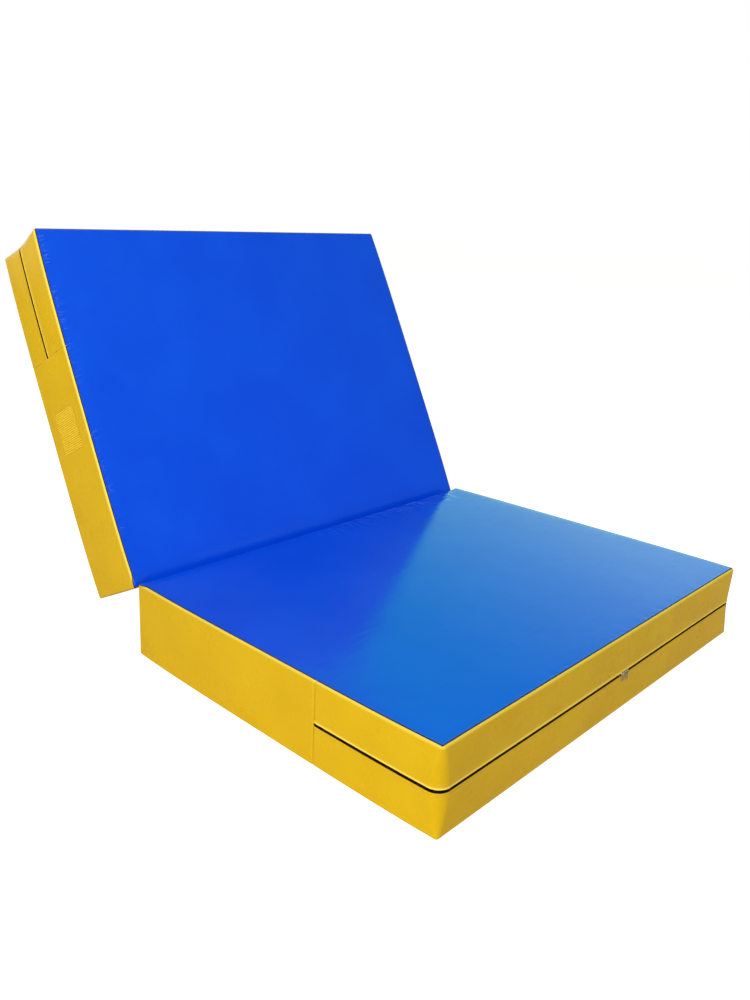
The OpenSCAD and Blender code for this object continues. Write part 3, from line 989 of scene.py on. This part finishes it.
# cloth hinge: a strip sewn below both rolled edges, hanging in a loop between the panels
hingeCloth = dict(span=482, length=40, out=0.3, dropBase=12.5, dropUpper=16.5, steps=14)
hingeOut = halfLength + hingeCloth["out"] * mm
hingeFrom = Vector((0, hingeOut, height - hingeCloth["dropBase"] * mm))
hingeTo = placeUpper @ Vector((0, hingeOut, height - hingeCloth["dropUpper"] * mm))


def hangLoop(sag):
    shares = [i / hingeCloth["steps"] for i in range(hingeCloth["steps"] + 1)]
    return [hingeFrom.lerp(hingeTo, t) - Vector((0, 0, sag * 4 * t * (1 - t))) for t in shares]


def slackForm(co):
    low = fade(hingeFrom.z - co.z, 4 * mm, 16 * mm)
    return co + Vector((0, 0.7 * mm * wander(co.x, 70 * mm, 61) * low, 0.8 * mm * wander(co.x, 55 * mm, 62) * low))


sag, step = 0, 16 * mm
while step > 0.05 * mm:      # as deep as the strip is long
    path = hangLoop(sag + step)
    if sum((q - p).length for p, q in zip(path, path[1:])) < hingeCloth["length"] * mm:
        sag += step
    step /= 2
strip = drawStrip("hingeStrip", [(p.y, p.z) for p in hangLoop(sag)],
                  stationsAlong(-hingeCloth["span"] * mm, hingeCloth["span"] * mm, 20 * mm))
soften(strip)
layCloth(strip, lambda co: (co.x, co.y + co.z))
faceOut(strip, (0, 0, -1), lambda f: f.center.z)
moveEach(strip, slackForm)
applyModifier(strip, "SOLIDIFY", thickness=panel["cloth"] * mm, offset=-1)
dress(strip, blueVinyl)
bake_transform(strip)
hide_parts("hinge_strip")
print("hinge strip hung, sag", round(sag / mm, 1), "mm")

# sliders and pulls: the die-cast shapes of the solids with their edges eased
metal = dict(ease=dict(slider=0.22, pull=0.25), sharp=50, smooth=35)
for name in places:
    for part, ease in metal["ease"].items():
        for side in ("l", "r"):
            node = f"{name}_{part}_{side}"
            casting = copyPiece(frame["nodes"][node], f"{name}{part.capitalize()}{side.upper()}")
            for key in list(casting.keys()):
                del casting[key]
            casting.parent = None
            openMesh(casting)
            bpy.ops.mesh.remove_doubles(threshold=2e-6)
            bpy.ops.mesh.dissolve_limited(angle_limit=math.radians(2))
            closeMesh()
            applyModifier(casting, "BEVEL", width=ease * mm, segments=2, limit_method="ANGLE",
                          angle_limit=math.radians(metal["sharp"]))
            dress(casting, platedZinc, metal["smooth"])
            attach(casting, node)
            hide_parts(node)
print("sliders and pulls eased")

# the zip band names of each panel, one by one; nothing is made of them
for name in places:
    for half in ("Top", "Low"):
        band = f"{name}ZipBand{half}"

# pale floor and soft studio light
studio = dict(floor="#EDEDEB", floorDim="#A8A8A6", floorGlow=0.74, world=0.3)
white = (1, 1, 1, 1)
floor = newPiece("floor", bpy.ops.mesh.primitive_plane_add, size=40, location=(0, 0, -0.5 * mm))
paper, tree = newTree("pale floor paper")
rays = addNode(tree, "LightPath").outputs
matt = addNode(tree, "BsdfDiffuse", {"Color": toLinear(studio["floor"])})
glow = addNode(tree, "Emission", {"Color": white, "Strength": studio["floorGlow"]})
lit = addNode(tree, "AddShader", {}, {0: matt, 1: glow})
seen = addNode(tree, "Math", {"operation": "MAXIMUM"}, {0: rays["Is Camera Ray"], 1: rays["Is Transmission Ray"]})
dim = addNode(tree, "BsdfDiffuse", {"Color": toLinear(studio["floorDim"])})
mirrored = addNode(tree, "MixShader", {}, {0: rays["Is Glossy Ray"], 1: matt, 2: dim})
shown = addNode(tree, "MixShader", {}, {0: seen, 1: mirrored, 2: lit})
addNode(tree, "OutputMaterial", {}, {"Surface": shown})
floor.data.materials.append(paper)

# white to the eye and in reflections, dimmer as a light
world = bpy.data.worlds.new("studio")
scene.world = world
world.use_nodes = True
tree = world.node_tree
tree.nodes.clear()
rays = addNode(tree, "LightPath").outputs
seen = addNode(tree, "Math", {"operation": "MAXIMUM"}, {0: rays["Is Camera Ray"], 1: rays["Is Glossy Ray"]})
seen = addNode(tree, "Math", {"operation": "MAXIMUM"}, {0: seen, 1: rays["Is Transmission Ray"]})
soft = addNode(tree, "Background", {"Color": white, "Strength": studio["world"]})
plain = addNode(tree, "Background", {"Color": white})
both = addNode(tree, "MixShader", {}, {0: seen, 1: soft, 2: plain})
addNode(tree, "OutputWorld", {}, {"Surface": both})

# soft boxes: place, aim, size, power; only the key light shows in reflections
softBoxes = dict(
    keyLight=((-4.54, -1.89, 2.83), (0, 0.2, 0.2), 3, 250),
    topLight=((0.2, -1.2, 3.5), (0, 0.3, 0.3), 2.6, 8),
    sideLight=((1.1, -1.3, 0.5), (0.4, -0.38, 0.1), 0.5, 2.5))
for name, (place, aim, size, power) in softBoxes.items():
    lamp = bpy.data.lights.new(name, "AREA")
    lamp.size, lamp.energy = size, power
    box = made.new(name, lamp)
    box.location = place
    box.rotation_euler = (Vector(aim) - Vector(place)).to_track_quat("-Z", "Y").to_euler()
    scene.collection.objects.link(box)
    if name != "keyLight":
        box.visible_glossy = box.visible_camera = False

# two cards that only show as reflections: a bright one behind to the right that lightens
# the lying panel, and a dark one to the right that keeps the raised panel deep
cards = dict(
    bright=dict(at=(3.1, 2.5, 1.7), aim=(0, 0, 0.6), size=(6.4, 4.2), strength=1.6, slope=-1.0, aside="#5E96A8",
                rise=[(0.0, "#B7FFE0"), (0.24, "#B7FFE0"), (0.35, "#8EE0C6"), (0.42, "#80DAB4"), (0.5, "#63D398"),
                      (0.6, "#47CF78"), (0.75, "#43D663")]),
    dark=dict(at=(3.3, -2.9, 2.9), aim=(0, 0.5, 0.5), size=(6.4, 6.6), strength=1.0, slope=0, aside="#597C7C",
              rise=[(0.0, "#597C7C"), (1.0, "#597C7C")]),
)
for name, card in cards.items():
    board = newPiece(name + "Card", bpy.ops.mesh.primitive_plane_add)
    face = (Vector(card["aim"]) - Vector(card["at"])).to_track_quat("Z", "Y").to_matrix().to_4x4()
    spread = Matrix.Diagonal((card["size"][0] / 2, card["size"][1] / 2, 1, 1))
    board.matrix_world = Matrix.Translation(card["at"]) @ face @ spread
    sheen, tree = newTree(name + " card")
    place = addNode(tree, "TexCoord").outputs["Object"]
    across = addNode(tree, "SeparateXYZ", {}, {"Vector": place}).outputs
    tilted = addNode(tree, "Math", {"operation": "MULTIPLY_ADD", 1: card["slope"]}, {0: across["X"], 2: across["Y"]})
    level = addNode(tree, "MapRange", {"From Min": -1.0, "From Max": 1.0}, {"Value": tilted})
    ramp = addNode(tree, "ValToRGB", {"stops": card["rise"]}, {"Fac": level})
    # plainer on the side that the raised panel hides
    hidden = addNode(tree, "MapRange", {"From Min": -0.3, "From Max": -0.05}, {"Value": across["X"]})
    hue = addNode(tree, "Mix", {"data_type": "RGBA", 6: toLinear(card["aside"])}, {0: hidden, 7: ramp})
    glow = addNode(tree, "Emission", {"Strength": card["strength"]}, {"Color": hue.outputs[2]})
    addNode(tree, "OutputMaterial", {}, {"Surface": glow})
    board.data.materials.append(sheen)
    board.visible_camera = board.visible_diffuse = board.visible_shadow = board.visible_transmission = False

# camera fitted to the photograph's own edges
view = dict(eye=(-1.3827, -1.0181, 0.8484), ahead=(0.69084, 0.67383, -0.26211), right=(0.70441, -0.70898, 0.03395),
            lens=32.23, shiftX=0.0354, shiftY=-0.0408)
ahead = Vector(view["ahead"]).normalized()
right = (Vector(view["right"]) - ahead * Vector(view["right"]).dot(ahead)).normalized()
turn = Matrix((right, right.cross(ahead), -ahead)).transposed()
eye = bpy.data.cameras.new("photoCamera")
eye.lens = view["lens"]
eye.shift_x, eye.shift_y = view["shiftX"], view["shiftY"]
eye.clip_start, eye.clip_end = 0.01, 100
camera = made.new("photoCamera", eye)
camera.matrix_world = Matrix.Translation(view["eye"]) @ turn.to_4x4()
scene.collection.objects.link(camera)
scene.camera = camera
